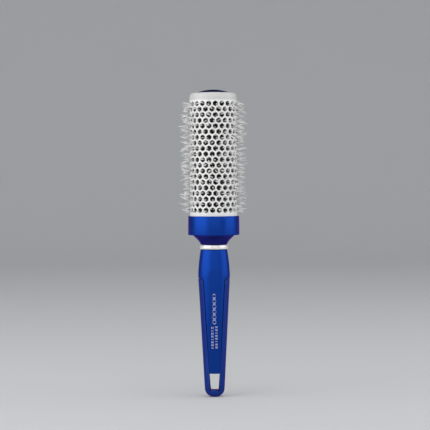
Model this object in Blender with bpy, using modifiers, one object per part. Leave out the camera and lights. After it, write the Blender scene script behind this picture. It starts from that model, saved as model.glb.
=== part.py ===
"""Round vented hair brush, 43 mm barrel.

A perforated barrel is held between a collar at the bottom and a domed plug at the
top.  A twisted wire core runs up its middle and grips twenty rows of nylon bristle,
which come out through the rows of hexagonal holes.  The collar stands on a trim ring
and is screwed to a handle whose U-shaped grip ends in a hanging loop.

The handle's end is at z = 0, the axis is +Z and the front faces -Y.
Run with: blender --background --python part.py
"""
import math

import bmesh
import bpy
from mathutils import Matrix, Vector

MM = 0.001

# Fits
CLEARANCE = 0.3 * MM            # between two pieces that touch
SEAM = 0.4 * MM                 # shadow line between handle and trim ring
PARTING_GAP = 0.6 * MM          # groove between the handle core and its grip

# Handle
HANDLE_LENGTH = 134.8 * MM
HANDLE_END_WIDTH = 18.2 * MM    # across the loop, where the rounded end stops
HANDLE_END_HEIGHT = 7.9 * MM    # height of the rounded end
HANDLE_END_FULLNESS = 0.8       # 1 is a plain ellipse, and less is squarer
HANDLE_WIDTH = 29.0 * MM        # widest, at the shoulder
SHOULDER_DROP = 24.5 * MM       # from the handle's top down to its widest place
HANDLE_TOP_WIDTH = 24.2 * MM
HANDLE_DEPTH_SHARE = 0.86       # depth of the handle for each unit of its width
PANEL_DEPTH_AT_END = 11.6 * MM  # between the flat front and back, at the loop
PANEL_DEPTH_AT_SHOULDER = 23.6 * MM

# Hanging loop and grip
LOOP_FLOOR = 6.3 * MM           # material below the loop's opening
LOOP_HEIGHT = 15.2 * MM
LOOP_WIDTH_BOTTOM = 7.0 * MM
LOOP_WIDTH_TOP = 9.2 * MM
WEB_WIDTH_TOP = 18.5 * MM       # handle core between the grip's arms, at their top
GRIP_TOP_DROP = 26.2 * MM       # from the handle's top down to the grip's top
GRIP_CORNER = 3.8 * MM          # radius of the arms' inner top corners

# Trim ring
RING_DIAMETER = 25.6 * MM
RING_HEIGHT = 3.9 * MM
RING_BULGE = 0.7 * MM           # how far the ring's middle stands past its edges

# Collar
NECK_DIAMETER = 24.2 * MM
FLARE_DIAMETER = 37.0 * MM
FLARE_HEIGHT = 7.7 * MM
FLARE_POWER = 1.45              # the flare widens with this power of its height
STEP_HEIGHT = 1.0 * MM
CUP_HEIGHT = 17.3 * MM
CUP_WALL = 1.7 * MM
CUP_TAPER = 0.2 * MM            # the cup's rim is this much smaller in radius
CUP_ROUND = 0.6 * MM
CUP_FLOOR = 2.5 * MM            # from the cup's outer underside to its inside floor
SPIGOT_DIAMETER = 15.0 * MM
SPIGOT_LENGTH = 21.0 * MM       # from the neck's underside down into the handle
BOSS_DIAMETER = 12.0 * MM
BOSS_HEIGHT = 8.5 * MM          # above the cup's inside floor

# Screw from the collar into the handle
SCREW_DIAMETER = 3.0 * MM
SCREW_HEAD_DIAMETER = 5.8 * MM
SCREW_HEAD_HEIGHT = 2.2 * MM
SCREW_LENGTH = 34.0 * MM        # below the head
SCREW_POINT = 3.0 * MM
SCREW_SEAT = 1.6 * MM           # height of the head's seat above the neck's underside

# Barrel
BARREL_DIAMETER = 43.0 * MM
BARREL_SHOWN = 112.0 * MM       # from the collar's rim to the barrel's top
BARREL_WALL = 1.0 * MM
BARREL_CORNER = 2.6 * MM        # the top edge turns in over this much
LIP_WIDTH = 4.5 * MM            # from the barrel's outside in to the plug's opening
HOLES_AROUND = 22
HOLE_ROWS = 20
STRUT = 1.55 * MM               # material left between neighbouring holes
BOTTOM_MARGIN = 5.5 * MM        # collar's rim to the middle of the lowest holes
TOP_MARGIN = 10.2 * MM          # middle of the highest holes to the barrel's top
PATTERN_TURN = math.radians(-2.45)

# End plug
DOME_RISE = 3.1 * MM            # above the barrel's top
DOME_RECESS = 0.4 * MM          # the dome's edge below the barrel's top
FLANGE_THICKNESS = 1.5 * MM
PLUG_BOSS_DIAMETER = 9.0 * MM
PLUG_BOSS_HEIGHT = 2.1 * MM
PLUG_SOCKET_DEPTH = 3.6 * MM

# Bristles and their wire core
BRISTLE_REACH = 10.5 * MM       # past the barrel's outside
CARRIER_DIAMETER = 20.0 * MM    # ring on the wire core that a row's tufts stand in
ROW_SPACING = 1.9 * MM          # free height between two carrier rings
WIRE_DIAMETER = 1.5 * MM
WIRE_GAP = 0.5 * MM             # between the two wires
WIRE_TWIST_PITCH = 18.0 * MM
WIRE_POINTS_PER_TURN = 8
FERRULE_WALL = 1.2 * MM
FERRULE_LENGTH = 11.5 * MM

# Facets of the turned pieces
TURN_STEPS = 32
SCREW_STEPS = 14

# Levels up the axis
handle_top = HANDLE_LENGTH
shoulder_level = handle_top - SHOULDER_DROP
loop_top = LOOP_FLOOR + LOOP_HEIGHT
grip_top = handle_top - GRIP_TOP_DROP
ring_bottom = handle_top + SEAM
ring_top = ring_bottom + RING_HEIGHT
neck_bottom = ring_top + CLEARANCE
flare_top = neck_bottom + FLARE_HEIGHT
cup_bottom = flare_top + STEP_HEIGHT
cup_floor = cup_bottom + CUP_FLOOR
cup_top = cup_bottom + CUP_HEIGHT
spigot_bottom = neck_bottom - SPIGOT_LENGTH
boss_top = cup_floor + BOSS_HEIGHT
screw_seat = neck_bottom + SCREW_SEAT
screw_tip = screw_seat - SCREW_LENGTH
barrel_bottom = cup_floor + CLEARANCE
barrel_top = cup_top + BARREL_SHOWN
flange_top = barrel_top - BARREL_CORNER - CLEARANCE
flange_bottom = flange_top - FLANGE_THICKNESS
plug_boss_bottom = flange_bottom - PLUG_BOSS_HEIGHT
wire_slant = WIRE_DIAMETER / 4   # room for the slant of a wire's cut end
wire_top = plug_boss_bottom + PLUG_SOCKET_DEPTH - CLEARANCE - wire_slant
ferrule_bottom = boss_top - FERRULE_LENGTH
wire_bottom = ferrule_bottom + CLEARANCE + wire_slant

# Radii shared by pieces that fit each other
barrel_radius = BARREL_DIAMETER / 2
barrel_bore = barrel_radius - BARREL_WALL
lip_radius = barrel_radius - LIP_WIDTH
cup_bore = barrel_radius + CLEARANCE
cup_radius = cup_bore + CUP_WALL
spigot_radius = SPIGOT_DIAMETER / 2
wire_twist_radius = (WIRE_DIAMETER + WIRE_GAP) / 2
wire_bore = wire_twist_radius + WIRE_DIAMETER / 2 + CLEARANCE
ferrule_radius = wire_bore + FERRULE_WALL
ferrule_bore = ferrule_radius + CLEARANCE
screw_bore = SCREW_DIAMETER / 2 + CLEARANCE

# Pattern of holes: rows and columns are staggered by half a pitch
column_pitch = math.pi * BARREL_DIAMETER / HOLES_AROUND
row_pitch = (BARREL_SHOWN - BOTTOM_MARGIN - TOP_MARGIN) / (HOLE_ROWS - 1)
column_angle = 2 * math.pi / HOLES_AROUND
front_angle = -math.pi / 2 + PATTERN_TURN


def clear_scene():
    """Take out whatever the new file holds."""
    for old in list(bpy.data.objects):
        bpy.data.objects.remove(old, do_unlink=True)


def new_collection(name):
    """A collection linked to the scene."""
    collection = bpy.data.collections.new(name)
    bpy.context.scene.collection.children.link(collection)
    return collection


def new_material(name, colour, roughness, metallic=0.0):
    """A plain Principled material."""
    material = bpy.data.materials.new(name)
    material.use_nodes = True
    shader = material.node_tree.nodes["Principled BSDF"]
    shader.inputs["Base Color"].default_value = (*colour, 1.0)
    shader.inputs["Roughness"].default_value = roughness
    shader.inputs["Metallic"].default_value = metallic
    material.diffuse_color = (*colour, 1.0)
    return material


def as_mesh(source, name, collection):
    """The shape that an object's modifiers or bevel give it, as a mesh object."""
    bpy.context.view_layer.update()
    evaluated = source.evaluated_get(bpy.context.evaluated_depsgraph_get())
    mesh = bpy.data.meshes.new_from_object(evaluated)
    mesh.transform(source.matrix_world)
    bpy.data.objects.remove(source, do_unlink=True)
    weld = bmesh.new()
    weld.from_mesh(mesh)
    bmesh.ops.remove_doubles(weld, verts=weld.verts, dist=0.001 * MM)
    weld.to_mesh(mesh)
    weld.free()
    mesh.shade_smooth()
    mesh.set_sharp_from_angle(angle=math.radians(35))
    result = bpy.data.objects.new(name, mesh)
    collection.objects.link(result)
    return result


def turned(name, profile, steps, collection, closed=True):
    """Turn a profile of (radius, height) points about Z.

    The points run down the outer side.  An open profile starts and ends on the axis.
    """
    mesh = bpy.data.meshes.new(name + "_profile")
    count = len(profile)
    edges = [(i, i + 1) for i in range(count - 1)]
    if closed:
        edges.append((count - 1, 0))
    mesh.from_pydata([(radius, 0.0, height) for radius, height in profile], edges, [])
    profile_object = bpy.data.objects.new(name + "_profile", mesh)
    collection.objects.link(profile_object)
    screw = profile_object.modifiers.new("Turn", "SCREW")
    screw.axis = "Z"
    screw.steps = steps
    screw.render_steps = steps
    screw.use_merge_vertices = True
    screw.merge_threshold = 0.001 * MM
    return as_mesh(profile_object, name, collection)


def plate(name, outline, half_depth, collection, across="Y"):
    """A flat outline of (side, height) points, as thick as twice half_depth.

    The outline stands in the XZ plane when it is thick along Y, and in YZ along X.
    """
    curve = bpy.data.curves.new(name + "_outline", "CURVE")
    curve.dimensions = "2D"
    curve.fill_mode = "BOTH"
    curve.extrude = half_depth
    spline = curve.splines.new("POLY")
    spline.points.add(len(outline) - 1)
    for point, (side, height) in zip(spline.points, outline):
        point.co = (side, height, 0.0, 1.0)
    spline.use_cyclic_u = True
    outline_object = bpy.data.objects.new(name + "_outline", curve)
    outline_object.rotation_euler = (math.pi / 2, 0.0, math.pi / 2 if across == "X" else 0.0)
    collection.objects.link(outline_object)
    return as_mesh(outline_object, name, collection)


def hide_cutter(cutter):
    """Show a cutter as wire and keep it out of renders."""
    cutter.hide_render = True
    cutter.display_type = "WIRE"


def combine(target, tool, operation):
    """Add a boolean that cuts, joins or intersects the target with a tool."""
    modifier = target.modifiers.new(operation.title() + " " + tool.name, "BOOLEAN")
    modifier.operation = operation
    modifier.solver = "EXACT"
    modifier.object = tool


def mirrored(half):
    """Close an outline given by its +side half, listed from bottom to top."""
    return half + [(-side, height) for side, height in reversed(half)]


def handle_profile():
    """Half-width of the handle from its top down to its rounded end."""
    end_radius = HANDLE_END_WIDTH / 2
    wide_radius = HANDLE_WIDTH / 2
    top_radius = HANDLE_TOP_WIDTH / 2
    points = [(0.0, handle_top), (top_radius, handle_top)]
    shoulder_steps = 6
    for step in range(1, shoulder_steps + 1):
        share = step / shoulder_steps
        radius = wide_radius - (wide_radius - top_radius) * (1 - share) ** 1.7
        points.append((radius, handle_top - SHOULDER_DROP * share))
    points.append((end_radius, HANDLE_END_HEIGHT))
    end_steps = 5
    for step in range(1, end_steps):
        angle = math.pi / 2 * step / end_steps
        height = HANDLE_END_HEIGHT * (1 - math.sin(angle))
        points.append((end_radius * math.cos(angle) ** HANDLE_END_FULLNESS, height))
    points.append((0.0, 0.0))
    return points


def handle_body(name, parts, cutters):
    """The handle's whole outer shape: a flattened turned body with flat front and back."""
    body = turned(name, handle_profile(), TURN_STEPS, parts, closed=False)
    body.data.transform(Matrix.Diagonal((1.0, HANDLE_DEPTH_SHARE, 1.0, 1.0)))
    slope = (PANEL_DEPTH_AT_SHOULDER - PANEL_DEPTH_AT_END) / 2 / (shoulder_level - LOOP_FLOOR)
    below = 5 * MM
    above = handle_top + 5 * MM
    half_depth = PANEL_DEPTH_AT_END / 2
    wedge = [
        (half_depth - slope * (LOOP_FLOOR + below), -below),
        (half_depth + slope * (above - LOOP_FLOOR), above),
    ]
    panels = plate(name + "_panels", mirrored(wedge), HANDLE_WIDTH, cutters, across="X")
    hide_cutter(panels)
    combine(body, panels, "INTERSECT")
    return body


def web_half_outline(gap):
    """Right edge of the handle core between the grip's arms, grown by a gap."""
    bottom = LOOP_WIDTH_TOP / 2
    arc_level = grip_top - GRIP_CORNER
    top = WEB_WIDTH_TOP / 2
    points = [(bottom + gap, loop_top), (top + gap, arc_level)]
    corner_steps = 5
    for step in range(1, corner_steps + 1):
        angle = math.pi - math.pi / 2 * step / corner_steps
        radius = GRIP_CORNER - gap
        points.append((top + GRIP_CORNER + radius * math.cos(angle), arc_level + radius * math.sin(angle)))
    points.append((HANDLE_WIDTH, grip_top - gap))
    points.append((HANDLE_WIDTH, handle_top + 5 * MM))
    return points


def make_handle_core(parts, cutters):
    """Handle core: shoulder and web, with the socket for the collar's spigot."""
    core = handle_body("handle_core", parts, cutters)
    web = plate("web_shape", mirrored(web_half_outline(0.0)), HANDLE_WIDTH, cutters)
    hide_cutter(web)
    combine(core, web, "INTERSECT")
    socket_radius = spigot_radius + CLEARANCE
    socket_bottom = spigot_bottom - CLEARANCE
    above = handle_top + 1 * MM
    pilot_bottom = screw_tip - CLEARANCE
    profile = [
        (0.0, above),
        (socket_radius, above),
        (socket_radius, socket_bottom),
        (screw_bore, socket_bottom),
        (screw_bore, pilot_bottom),
        (0.0, pilot_bottom),
    ]
    socket = turned("spigot_socket", profile, TURN_STEPS, cutters, closed=False)
    hide_cutter(socket)
    combine(core, socket, "DIFFERENCE")
    core.data.materials.append(new_material("core_lacquer", (0.02, 0.10, 0.42), 0.28))


def make_grip(parts, cutters):
    """Grip: the U of two arms and the hanging loop around the handle core."""
    grip = handle_body("grip_sleeve", parts, cutters)
    opening = [
        (LOOP_WIDTH_BOTTOM / 2, LOOP_FLOOR),
        (LOOP_WIDTH_TOP / 2, loop_top - PARTING_GAP),
        (LOOP_WIDTH_TOP / 2 + PARTING_GAP, loop_top - PARTING_GAP),
    ]
    opening += web_half_outline(PARTING_GAP)
    inside = plate("loop_and_web_space", mirrored(opening), HANDLE_WIDTH, cutters)
    hide_cutter(inside)
    combine(grip, inside, "DIFFERENCE")
    grip.data.materials.append(new_material("grip_lacquer", (0.01, 0.07, 0.36), 0.36))


def make_trim_ring(parts):
    """Bright convex ring between the handle and the collar."""
    outer = RING_DIAMETER / 2
    inner = spigot_radius + CLEARANCE
    middle = (ring_bottom + ring_top) / 2
    bulge_steps = 4
    profile = [(inner, ring_top)]
    for step in range(bulge_steps + 1):
        angle = math.pi / 2 - math.pi * step / bulge_steps
        radius = outer - RING_BULGE * (1 - math.cos(angle))
        profile.append((radius, middle + RING_HEIGHT / 2 * math.sin(angle)))
    profile.append((inner, ring_bottom))
    ring = turned("trim_ring", profile, TURN_STEPS, parts)
    ring.data.materials.append(new_material("bright_chrome", (0.85, 0.83, 0.82), 0.15, 1.0))


def make_collar(parts):
    """Collar: cup for the barrel, flared neck and the spigot that enters the handle."""
    profile = [
        (cup_bore, cup_top),
        (cup_radius - CUP_TAPER - CUP_ROUND, cup_top),
        (cup_radius - CUP_TAPER, cup_top - CUP_ROUND),
        (cup_radius, cup_bottom + CUP_ROUND),
        (cup_radius - CUP_ROUND, cup_bottom),
        (FLARE_DIAMETER / 2, cup_bottom),
    ]
    flare_steps = 5
    for step in range(flare_steps + 1):
        share = 1 - step / flare_steps
        radius = (NECK_DIAMETER + (FLARE_DIAMETER - NECK_DIAMETER) * share ** FLARE_POWER) / 2
        profile.append((radius, neck_bottom + FLARE_HEIGHT * share))
    profile += [
        (spigot_radius, neck_bottom),
        (spigot_radius, spigot_bottom),
        (screw_bore, spigot_bottom),
        (screw_bore, screw_seat - CLEARANCE),
        (ferrule_bore, screw_seat - CLEARANCE),
        (ferrule_bore, boss_top),
        (BOSS_DIAMETER / 2, boss_top),
        (BOSS_DIAMETER / 2, cup_floor),
        (cup_bore, cup_floor),
    ]
    collar = turned("collar", profile, TURN_STEPS, parts)
    collar.data.materials.append(new_material("collar_lacquer", (0.01, 0.06, 0.34), 0.25))


def make_joint_screw(parts):
    """Self-tapping screw that pulls the collar down onto the handle."""
    head = SCREW_HEAD_DIAMETER / 2
    shank = SCREW_DIAMETER / 2
    profile = [
        (0.0, screw_seat + SCREW_HEAD_HEIGHT),
        (head * 0.7, screw_seat + SCREW_HEAD_HEIGHT),
        (head, screw_seat + SCREW_HEAD_HEIGHT * 0.5),
        (head, screw_seat),
        (shank, screw_seat),
        (shank, screw_tip + SCREW_POINT),
        (0.0, screw_tip),
    ]
    screw = turned("joint_screw", profile, SCREW_STEPS, parts, closed=False)
    screw.data.materials.append(new_material("zinc_steel", (0.55, 0.54, 0.52), 0.35, 1.0))


def make_ferrule(parts):
    """Crimped bush that holds the wire core's lower end in the collar's boss."""
    profile = [
        (wire_bore, boss_top),
        (ferrule_radius, boss_top),
        (ferrule_radius, ferrule_bottom),
        (wire_bore, ferrule_bottom),
    ]
    ferrule = turned("core_ferrule", profile, HOLES_AROUND, parts)
    ferrule.data.materials.append(new_material("ferrule_brass", (0.60, 0.45, 0.20), 0.4, 1.0))


def make_core_wire(letter, start_angle, parts, material):
    """One of the two wires that are twisted together through the carrier rings."""
    height = wire_top - wire_bottom
    points = round(height / WIRE_TWIST_PITCH * WIRE_POINTS_PER_TURN) + 1
    curve = bpy.data.curves.new("core_wire_" + letter + "_path", "CURVE")
    curve.dimensions = "3D"
    curve.bevel_depth = WIRE_DIAMETER / 2
    curve.bevel_resolution = 1
    curve.use_fill_caps = True
    spline = curve.splines.new("POLY")
    spline.points.add(points - 1)
    for index, point in enumerate(spline.points):
        rise = height * index / (points - 1)
        angle = start_angle + 2 * math.pi * rise / WIRE_TWIST_PITCH
        across = wire_twist_radius * math.cos(angle)
        along = wire_twist_radius * math.sin(angle)
        point.co = (across, along, wire_bottom + rise, 1.0)
    path = bpy.data.objects.new("core_wire_" + letter + "_path", curve)
    parts.objects.link(path)
    wire = as_mesh(path, "core_wire_" + letter, parts)
    wire.data.materials.append(material)


def hole_corners():
    """Half-width, side height and tip height of a hole.

    A hole is the six-sided cell between its neighbours, less half a strut all round.
    """
    half_width = (column_pitch - STRUT) / 2
    neighbour = math.hypot(column_pitch / 2, row_pitch)
    reach = neighbour * (neighbour - STRUT) / 2
    tip = reach / row_pitch
    side = (reach - half_width * column_pitch / 2) / row_pitch
    return half_width, side, tip


def hole_angle(row):
    """Direction of one hole of a row, counted from the bottom."""
    rows_from_top = HOLE_ROWS - 1 - row
    return front_angle + (0.0 if rows_from_top % 2 else column_angle / 2)


def hole_level(row):
    """Height of a row of holes, counted from the bottom."""
    return cup_top + BOTTOM_MARGIN + row * row_pitch


def make_hole_cutter(cutters):
    """All the hexagonal pins that leave the barrel's holes, as one cutter."""
    past_wall = 2 * MM
    length = BARREL_WALL + 2 * past_wall
    middle = barrel_radius - BARREL_WALL / 2
    half_width, side, tip = hole_corners()
    pins = bmesh.new()
    for row in range(HOLE_ROWS):
        for column in range(HOLES_AROUND):
            pin = bmesh.ops.create_cone(
                pins, segments=6, radius1=1.0, radius2=1.0, depth=length, cap_ends=True
            )
            turn = Matrix.Rotation(hole_angle(row) + column * column_angle, 3, "Z")
            for vertex in pin["verts"]:
                at_tip = abs(vertex.co.x) < 0.5
                across = 0.0 if at_tip else math.copysign(half_width, vertex.co.x)
                up = math.copysign(tip if at_tip else side, vertex.co.y)
                place = Vector((middle + vertex.co.z, across, hole_level(row) + up))
                vertex.co = turn @ place
    bmesh.ops.recalc_face_normals(pins, faces=pins.faces)
    mesh = bpy.data.meshes.new("hole_pins")
    pins.to_mesh(mesh)
    pins.free()
    cutter = bpy.data.objects.new("hole_pins", mesh)
    cutters.objects.link(cutter)
    hide_cutter(cutter)
    return cutter


def make_barrel(parts, cutters):
    """Barrel: a thin tube with a turned-in top lip and staggered hexagonal holes."""
    profile = [
        (lip_radius, barrel_top),
        (barrel_radius - BARREL_CORNER, barrel_top),
        (barrel_radius, barrel_top - BARREL_CORNER),
        (barrel_radius, barrel_bottom),
        (barrel_bore, barrel_bottom),
        (barrel_bore, barrel_top - BARREL_CORNER),
        (lip_radius, barrel_top - BARREL_WALL),
    ]
    barrel = turned("barrel", profile, 2 * HOLES_AROUND, parts)
    barrel.data.transform(Matrix.Rotation(front_angle, 4, "Z"))
    combine(barrel, make_hole_cutter(cutters), "DIFFERENCE")
    weld = barrel.modifiers.new("Weld", "WELD")
    weld.merge_threshold = 0.005 * MM
    barrel.data.materials.append(new_material("barrel_white", (0.86, 0.85, 0.83), 0.35))


def make_end_plug(parts):
    """Domed plug in the barrel's top, with the socket for the wire core."""
    edge_radius = lip_radius - CLEARANCE
    edge_level = barrel_top - DOME_RECESS
    rise = DOME_RISE + DOME_RECESS
    dome_radius = (edge_radius ** 2 + rise ** 2) / (2 * rise)
    dome_angle = math.asin(edge_radius / dome_radius)
    dome_steps = 5
    profile = []
    for step in range(dome_steps + 1):
        angle = dome_angle * step / dome_steps
        level = edge_level + rise - dome_radius * (1 - math.cos(angle))
        profile.append((dome_radius * math.sin(angle), level))
    flange_radius = barrel_bore - CLEARANCE
    socket_top = plug_boss_bottom + PLUG_SOCKET_DEPTH
    profile += [
        (edge_radius, flange_top),
        (flange_radius, flange_top),
        (flange_radius, flange_bottom),
        (PLUG_BOSS_DIAMETER / 2, flange_bottom),
        (PLUG_BOSS_DIAMETER / 2, plug_boss_bottom),
        (wire_bore, plug_boss_bottom),
        (wire_bore, socket_top),
        (0.0, socket_top),
    ]
    plug = turned("end_plug", profile, TURN_STEPS, parts, closed=False)
    plug.data.materials.append(new_material("plug_lacquer", (0.01, 0.01, 0.06), 0.3))


def make_bristle_row(row, parts, material):
    """One row of bristle: a carrier ring around the wires, with a tuft out of every hole."""
    half = (row_pitch - ROW_SPACING) / 2
    level = hole_level(row)
    carrier_radius = CARRIER_DIAMETER / 2
    profile = [
        (wire_bore, level + half),
        (carrier_radius, level + half),
        (carrier_radius, level - half),
        (wire_bore, level - half),
    ]
    name = "bristle_row_%02d" % (row + 1)
    bristles = turned(name, profile, HOLES_AROUND, parts)
    carrier = bmesh.new()
    carrier.from_mesh(bristles.data)
    face_radius = carrier_radius * math.cos(column_angle / 2)
    outside = [f for f in carrier.faces if f.calc_center_median().xy.length > face_radius * 0.99]
    bmesh.ops.poke(carrier, faces=outside, offset=barrel_radius + BRISTLE_REACH - face_radius)
    carrier.to_mesh(bristles.data)
    carrier.free()
    bristles.data.transform(Matrix.Rotation(hole_angle(row) - column_angle / 2, 4, "Z"))
    bristles.data.materials.append(material)


def build():
    """Make every piece of the brush."""
    clear_scene()
    parts = new_collection("round_hair_brush")
    cutters = new_collection("cutters")
    make_handle_core(parts, cutters)
    make_grip(parts, cutters)
    make_trim_ring(parts)
    make_collar(parts)
    make_joint_screw(parts)
    make_ferrule(parts)
    steel = new_material("wire_steel", (0.60, 0.60, 0.60), 0.3, 1.0)
    make_core_wire("a", 0.0, parts, steel)
    make_core_wire("b", math.pi, parts, steel)
    make_barrel(parts, cutters)
    make_end_plug(parts)
    nylon = new_material("bristle_nylon", (0.88, 0.88, 0.86), 0.4)
    for row in range(HOLE_ROWS):
        make_bristle_row(row, parts, nylon)


build()
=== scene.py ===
import math
import random

import bmesh
import bpy
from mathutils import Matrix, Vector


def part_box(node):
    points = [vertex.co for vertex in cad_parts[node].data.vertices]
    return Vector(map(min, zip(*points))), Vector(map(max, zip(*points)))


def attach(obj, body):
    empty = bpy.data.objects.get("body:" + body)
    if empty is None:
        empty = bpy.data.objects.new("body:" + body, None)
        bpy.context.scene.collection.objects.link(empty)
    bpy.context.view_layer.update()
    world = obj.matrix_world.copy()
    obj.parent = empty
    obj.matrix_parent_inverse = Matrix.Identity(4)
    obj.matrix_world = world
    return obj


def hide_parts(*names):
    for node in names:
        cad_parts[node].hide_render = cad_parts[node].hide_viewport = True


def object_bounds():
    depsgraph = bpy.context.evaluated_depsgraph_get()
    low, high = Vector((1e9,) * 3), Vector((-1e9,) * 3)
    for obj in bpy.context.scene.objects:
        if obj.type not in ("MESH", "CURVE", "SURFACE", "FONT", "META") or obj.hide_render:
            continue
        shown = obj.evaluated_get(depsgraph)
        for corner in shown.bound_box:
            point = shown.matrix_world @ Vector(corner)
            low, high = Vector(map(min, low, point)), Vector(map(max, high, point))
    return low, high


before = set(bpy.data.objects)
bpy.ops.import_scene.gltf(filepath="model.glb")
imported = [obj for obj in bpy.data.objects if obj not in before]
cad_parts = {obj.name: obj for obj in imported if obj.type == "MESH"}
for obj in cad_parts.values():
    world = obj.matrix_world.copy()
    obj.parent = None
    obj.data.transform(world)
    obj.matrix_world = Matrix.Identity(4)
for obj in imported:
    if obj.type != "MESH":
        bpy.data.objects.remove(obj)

cad_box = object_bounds()
MM = 0.001

# ---------------------------------------------------------------------------
# Handle blank
# The handle is moulded in hard plastic: a long taper, widest at the shoulder,
# flattened from front to back and trimmed flat on both faces.
# ---------------------------------------------------------------------------
core_low, core_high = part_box("handle_core")
grip_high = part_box("grip_sleeve")[1]
handle_top = core_high.z
wide_radius = core_high.x
shoulder_level = handle_top - 24.5 * MM
neck_radius = 12.1 * MM
end_radius = 9.1 * MM
end_height = 7.9 * MM
depth_share = 0.86
panel_end_depth = 5.8 * MM
panel_slope = 6.0 / 103.7
panel_crown = 30.0 * MM
panel_tilts = [math.radians(tilt) for tilt in (0, -5, 5, -10, 10, -15, 15, -20, 20)]
shoulder_swell = 1.7
end_roundness = 0.4
loop_floor = 6.3 * MM
loop_top = core_low.z
weld_distance = 0.002 * MM


def bare_edit(piece):
    """Open one piece in edit mode with nothing on it selected."""
    bpy.ops.object.select_all(action="DESELECT")
    piece.select_set(True)
    bpy.context.view_layer.objects.active = piece
    bpy.ops.object.mode_set(mode="EDIT")
    bpy.ops.mesh.select_mode(type="VERT")
    bpy.ops.mesh.select_all(action="DESELECT")


def close_edit():
    """Leave edit mode."""
    bpy.ops.object.mode_set(mode="OBJECT")


def turned_piece(name, profile, around=96, start_pole=False, end_pole=False, closed=False):
    """Draw a ring of points up through the (radius, height) steps of a profile.

    A pole closes an end on the axis. A closed profile ends where it began.
    """
    radius, level = profile[0]
    bpy.ops.object.select_all(action="DESELECT")
    bpy.ops.mesh.primitive_circle_add(vertices=around, radius=radius, location=(0, 0, level))
    piece = bpy.context.object
    piece.name = name
    bpy.ops.object.transform_apply(location=True, rotation=True, scale=True)
    bpy.ops.object.mode_set(mode="EDIT")
    bpy.ops.mesh.select_all(action="SELECT")
    if start_pole:
        bpy.ops.mesh.extrude_region_move()
        bpy.ops.mesh.merge(type="CENTER")
        bpy.ops.mesh.select_all(action="DESELECT")
        bpy.ops.mesh.select_non_manifold(use_wire=False, use_multi_face=False, use_non_contiguous=False,
                                         use_verts=False)
    for next_radius, next_level in profile[1:]:
        bpy.ops.mesh.extrude_region_move(TRANSFORM_OT_translate={"value": (0, 0, next_level - level)})
        share = next_radius / radius
        bpy.ops.transform.resize(value=(share, share, 1), center_override=(0, 0, next_level))
        radius, level = next_radius, next_level
    if end_pole:
        bpy.ops.mesh.extrude_region_move()
        bpy.ops.mesh.merge(type="CENTER")
    bpy.ops.mesh.select_all(action="SELECT")
    if closed or start_pole or end_pole:
        bpy.ops.mesh.remove_doubles(threshold=weld_distance)
        bpy.ops.mesh.normals_make_consistent(inside=False)
    close_edit()
    return piece


def use_modifier(piece, name, kind, **settings):
    """Add a modifier with its settings and apply it."""
    bpy.ops.object.select_all(action="DESELECT")
    piece.select_set(True)
    bpy.context.view_layer.objects.active = piece
    modifier = piece.modifiers.new(name, kind)
    for setting, value in settings.items():
        setattr(modifier, setting, value)
    bpy.ops.object.modifier_apply(modifier=modifier.name)


def handle_radius(level):
    """Half the handle's width at a height."""
    if level >= shoulder_level:
        share = (level - shoulder_level) / (handle_top - shoulder_level)
        return wide_radius - (wide_radius - neck_radius) * share ** shoulder_swell
    if level >= end_height:
        share = (level - end_height) / (shoulder_level - end_height)
        return end_radius + (wide_radius - end_radius) * share
    return end_radius * max(1 - (1 - level / end_height) ** 2, 0.0) ** end_roundness


# A slice otherwise takes corners up to 0.1 mm off its plane as lying on it, and leaves
# faces that aren't flat.
slice_tolerance = 0.0001 * MM


def handle_blank(name):
    """The whole handle's outside, trimmed flat in front and behind."""
    levels = [end_height * (1 - math.cos(math.pi / 2 * step / 10)) for step in range(1, 10)]
    levels += [end_height + (shoulder_level - end_height) * step / 12 for step in range(13)]
    levels += [shoulder_level + (handle_top - shoulder_level) * step / 10 for step in range(1, 11)]
    profile = [(handle_radius(level), level) for level in levels]
    blank = turned_piece(name, [(profile[0][0] * 0.5, 0.0)] + profile, start_pole=True, end_pole=True)
    bare_edit(blank)
    bpy.ops.mesh.select_all(action="SELECT")
    bpy.ops.transform.resize(value=(1, depth_share, 1), center_override=(0, 0, 0))
    for side in (-1, 1):
        for tilt in panel_tilts:
            touch_depth = panel_end_depth - panel_crown * (1 - math.cos(tilt))
            touch = (panel_crown * math.sin(tilt), side * touch_depth, loop_floor)
            facing = (math.sin(tilt), side * math.cos(tilt), -panel_slope)
            bpy.ops.mesh.select_all(action="SELECT")
            bpy.ops.mesh.bisect(plane_co=touch, plane_no=facing, use_fill=True, clear_outer=True,
                                threshold=slice_tolerance)
    close_edit()
    return blank


loop_floor_half = 3.5 * MM
web_bottom = 4.6 * MM
web_top = 9.25 * MM
arm_corner = 3.8 * MM
groove = 0.6 * MM
cutter_depth = 20 * MM


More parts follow.
